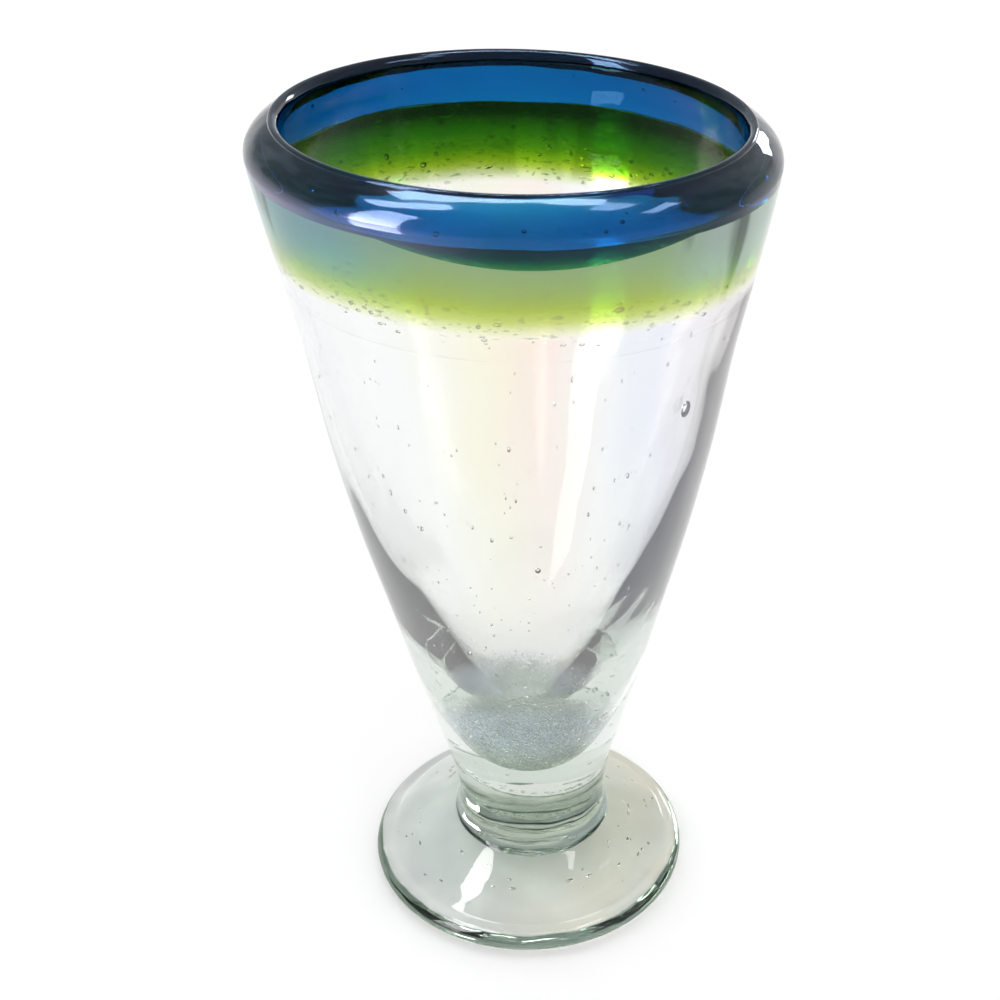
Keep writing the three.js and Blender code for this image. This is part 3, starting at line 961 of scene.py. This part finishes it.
class GLASS_OT_blue_rim(GlassOperator, bpy.types.Operator):
    """Makes the blue rim with its rolled lip"""

    bl_idname = "glass.blue_rim"
    bl_label = "Blue rim"

    def execute(self, context):
        sizes, colours, outline, joints = self.start(context)
        bulge = (sizes.bulge_radius, outline.bulge_height)
        crest = (sizes.bulge_radius - sizes.crest_inset, sizes.glass_height)
        bead_foot = (crest[0] + sizes.crest_round, crest[1] - sizes.crest_round)
        mouth = (float(outline.cavity(outline.mouth_height)), outline.mouth_height)
        turn = bulge[1] + (bead_foot[1] - bulge[1]) * sizes.bevel_fullness
        bevel = bezier(BEVEL_RINGS, bulge, (bulge[0], turn), bead_foot)
        bead = quarter_round(BEAD_RINGS, bead_foot, (bead_foot[0], crest[1]), crest)
        flare = quarter_round(FLARE_RINGS, crest, (mouth[0], crest[1]), mouth)
        rim = Gather(sizes, 6)
        side = steps(joints.rim_outer() + sizes.joint_gap / 2, outline.bulge_height, ROLL_RINGS)
        rim.add_from_joint(outline.outer(side), side, OUTSIDE)
        rim.add_curves(OUTSIDE, bevel, bead, flare)
        inner = steps(joints.rim_inner() + sizes.joint_gap / 2, outline.mouth_height, MOUTH_RINGS)[::-1][1:]
        rim.add(outline.cavity(inner), inner, INSIDE)
        rim.scatter(*RIM_SEEDS, *RIM_SEED_HEIGHTS)
        place("blue_rim_glass", rim, blue_material(colours), "blue_rim", "blue_glass", True)
        return {"FINISHED"}


def add_floor(settings):
    """A pale floor with a little light of its own."""
    reach = settings.floor_reach
    data = bpy.data.meshes.new("floor")
    corners = [(-reach, -reach, 0), (reach, -reach, 0), (reach, reach, 0), (-reach, reach, 0)]
    data.from_pydata(corners, [], [range(4)])
    floor = add_object("floor", data)
    floor.location.z = -settings.floor_drop
    material = bpy.data.materials.new("floor")
    material.use_nodes = True
    look = Look(material.node_tree)
    lit = look.node("ShaderNodeBsdfDiffuse", {"Color": (*settings.floor_colour, 1)})
    glow = look.node("ShaderNodeEmission", {"Color": (1, 1, 1, 1), "Strength": settings.floor_glow})
    look.node("ShaderNodeOutputMaterial", {"Surface": look.node("ShaderNodeAddShader", {0: lit, 1: glow})})
    data.materials.append(material)


def make_room(settings):
    """White round about, and a dimmer room overhead where glass shows it straight on."""
    world = bpy.data.worlds.new("world")
    world.use_nodes = True
    world.cycles.sampling_method = "NONE"
    look = Look(world.node_tree, "Generated")
    glossy, through, bounced = (look.node("ShaderNodeLightPath", output=name) for name in (
        "Is Glossy Ray", "Is Transmission Ray", "Diffuse Depth"))
    in_glass = look.node("ShaderNodeMath", {0: glossy, 1: through}, operation="MAXIMUM")
    direct = look.node("ShaderNodeMath", {0: bounced, 1: 1}, operation="LESS_THAN")
    clutter = {"Vector": look.place, "Scale": CLUTTER_SCALE, "Detail": CLUTTER_DETAIL}
    clutter = look.node("ShaderNodeTexNoise", clutter, "Fac")
    clutter = (look.rise(clutter, *CLUTTER_LEVELS) - CLUTTER_MIDDLE) * CLUTTER_DEPTH
    room = in_glass * direct * look.rise(look.along("Z"), *ROOM_RISE)
    strength = 1 - room * (settings.room_dim - clutter)
    side = look.blend(settings.room_left, settings.room_right, look.rise(look.along("X"), *ROOM_SIDES))
    look.node("ShaderNodeOutputWorld", {"Surface": look.node("ShaderNodeBackground", {
        "Color": look.blend((1, 1, 1), side, room), "Strength": strength})})
    return world


def add_pane(name, azimuth, distance, height, lean, width, tallness, power):
    """A window pane that only glass shows; it leans over towards the glass."""
    data = bpy.data.lights.new(name, "AREA")
    data.shape = "RECTANGLE"
    data.size, data.size_y = width, tallness
    data.energy = power
    lamp = add_object(name, data)
    turn = math.radians(azimuth)
    lamp.location = (distance * math.sin(turn), distance * math.cos(turn), height)
    lamp.rotation_euler = (math.pi / 2 - math.radians(lean), 0, math.pi - turn)
    lamp.visible_camera = lamp.visible_diffuse = False


def add_camera(settings):
    """The camera of the photograph."""
    data = bpy.data.cameras.new("camera")
    data.sensor_width = settings.sensor
    data.lens = settings.lens
    data.clip_start = CAMERA_NEAREST
    camera = add_object("camera", data)
    turned = Matrix.Translation(settings.camera_place)
    for turn, axis in ((-settings.yaw, "Z"), (math.pi / 2 - settings.pitch, "X"), (-settings.roll, "Z")):
        turned = turned @ Matrix.Rotation(turn, 4, axis)
    camera.matrix_world = turned
    return camera


class GLASS_OT_stage(GlassOperator, bpy.types.Operator):
    """Makes the floor, the light and the camera"""

    bl_idname = "glass.stage"
    bl_label = "Stage"

    def execute(self, context):
        settings = context.scene.glass_stage
        add_floor(settings)
        context.scene.world = make_room(settings)
        for pane in WINDOW_PANES:
            add_pane(*pane)
        context.scene.camera = add_camera(settings)
        context.scene.view_settings.view_transform = "Standard"
        return {"FINISHED"}


OPERATORS = (GLASS_OT_foot, GLASS_OT_wafer, GLASS_OT_bowl, GLASS_OT_green_band, GLASS_OT_blue_rim, GLASS_OT_stage)
GROUPS = {"glass_sizes": GlassSizes, "glass_colours": GlassColours, "glass_stage": StageSettings}


class GLASS_PT_panel(bpy.types.Panel):
    """The sidebar panel that lists the operators, sizes and colours"""

    bl_label = "Pilsner Glass"
    bl_idname = "GLASS_PT_panel"
    bl_space_type = "VIEW_3D"
    bl_region_type = "UI"
    bl_category = "Glass"

    def draw(self, context):
        for operator in OPERATORS:
            self.layout.operator(operator.bl_idname)
        for label in GROUPS:
            group = getattr(context.scene, label)
            for name in group.bl_rna.properties.keys():
                if name not in ("rna_type", "name"):
                    self.layout.prop(group, name)


CLASSES = (*GROUPS.values(), *OPERATORS, GLASS_PT_panel)


def register():
    for each in CLASSES:
        bpy.utils.register_class(each)
    for label, group in GROUPS.items():
        setattr(bpy.types.Scene, label, bpy.props.PointerProperty(type=group))


def unregister():
    for label in GROUPS:
        delattr(bpy.types.Scene, label)
    for each in reversed(CLASSES):
        bpy.utils.unregister_class(each)


def main():
    register()
    for name in ("foot", "wafer", "bowl", "green_band", "blue_rim", "stage"):
        getattr(bpy.ops.glass, name)()


if __name__ == "__main__":
    main()
